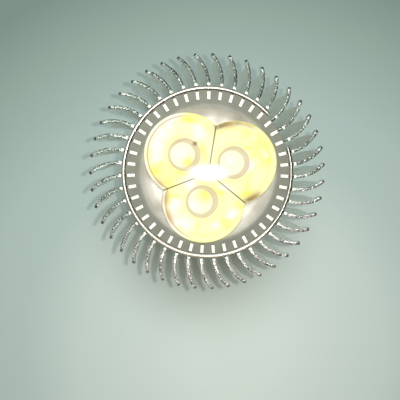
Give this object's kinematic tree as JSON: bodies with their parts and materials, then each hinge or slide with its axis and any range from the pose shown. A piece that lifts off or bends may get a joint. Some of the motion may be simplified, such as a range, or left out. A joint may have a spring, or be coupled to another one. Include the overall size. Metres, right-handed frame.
{
  "type": "led spot bulb",
  "caption": "Spot bulb with a ring of curled sheet heat-sink fins, a slotted front plate, a wire ring, a three-lobed lens and a twist-lock two-pin base.",
  "frame": {"origin": "centre of the base's end face, where the contact pins leave it", "axes": "+Z along the lamp's axis, the way the light goes; X through both contact pins; Y square to both, to make a right-handed frame"},
  "size_m": [0.0606, 0.0606, 0.071],
  "materials": {
    "fin_aluminium": "mill finish sheet with bright sheared edges",
    "plate_aluminium": "satin pressed sheet",
    "core_aluminium": "mill finish bar",
    "wire_steel": "bright drawn wire",
    "lens_acrylic": "clear polished acrylic, lit from behind",
    "board_white": "white solder mask on a metal core",
    "emitter": "yellow phosphor on a ceramic package",
    "housing_plastic": "moulded white plastic",
    "pin_nickel": "nickel-plated turned pin",
    "driver_board": "green laminate",
    "transformer": "taped winding",
    "capacitor": "dipped film capacitor",
    "lead_black": "insulated wire",
    "lead_red": "insulated wire"
  },
  "bodies": {
    "root": {"front_plate": "plate_aluminium", "front_retaining_ring": "wire_steel", "trefoil_lens": "lens_acrylic", "heat_sink_core": "core_aluminium", "led_board": "board_white", "led_emitter_1": "emitter", "led_emitter_2": "emitter", "led_emitter_3": "emitter", "base_housing": "housing_plastic", "contact_pin_left": "pin_nickel", "contact_pin_right": "pin_nickel", "driver_board": "driver_board", "driver_transformer": "transformer", "driver_capacitor": "capacitor", "led_lead_left": "lead_black", "led_lead_right": "lead_red", "fin_01": "fin_aluminium", "fin_02": "fin_aluminium", "fin_03": "fin_aluminium", "fin_04": "fin_aluminium", "fin_05": "fin_aluminium", "fin_06": "fin_aluminium", "fin_07": "fin_aluminium", "fin_08": "fin_aluminium", "fin_09": "fin_aluminium", "fin_10": "fin_aluminium", "fin_11": "fin_aluminium", "fin_12": "fin_aluminium", "fin_13": "fin_aluminium", "fin_14": "fin_aluminium", "fin_15": "fin_aluminium", "fin_16": "fin_aluminium", "fin_17": "fin_aluminium", "fin_18": "fin_aluminium", "fin_19": "fin_aluminium", "fin_20": "fin_aluminium", "fin_21": "fin_aluminium", "fin_22": "fin_aluminium", "fin_23": "fin_aluminium", "fin_24": "fin_aluminium", "fin_25": "fin_aluminium", "fin_26": "fin_aluminium", "fin_27": "fin_aluminium", "fin_28": "fin_aluminium", "fin_29": "fin_aluminium", "fin_30": "fin_aluminium", "fin_31": "fin_aluminium", "fin_32": "fin_aluminium", "fin_33": "fin_aluminium", "fin_34": "fin_aluminium", "fin_35": "fin_aluminium", "fin_36": "fin_aluminium", "fin_37": "fin_aluminium", "fin_38": "fin_aluminium", "fin_39": "fin_aluminium", "fin_40": "fin_aluminium", "fin_41": "fin_aluminium", "fin_42": "fin_aluminium", "fin_43": "fin_aluminium"}
  },
  "joints": []
}
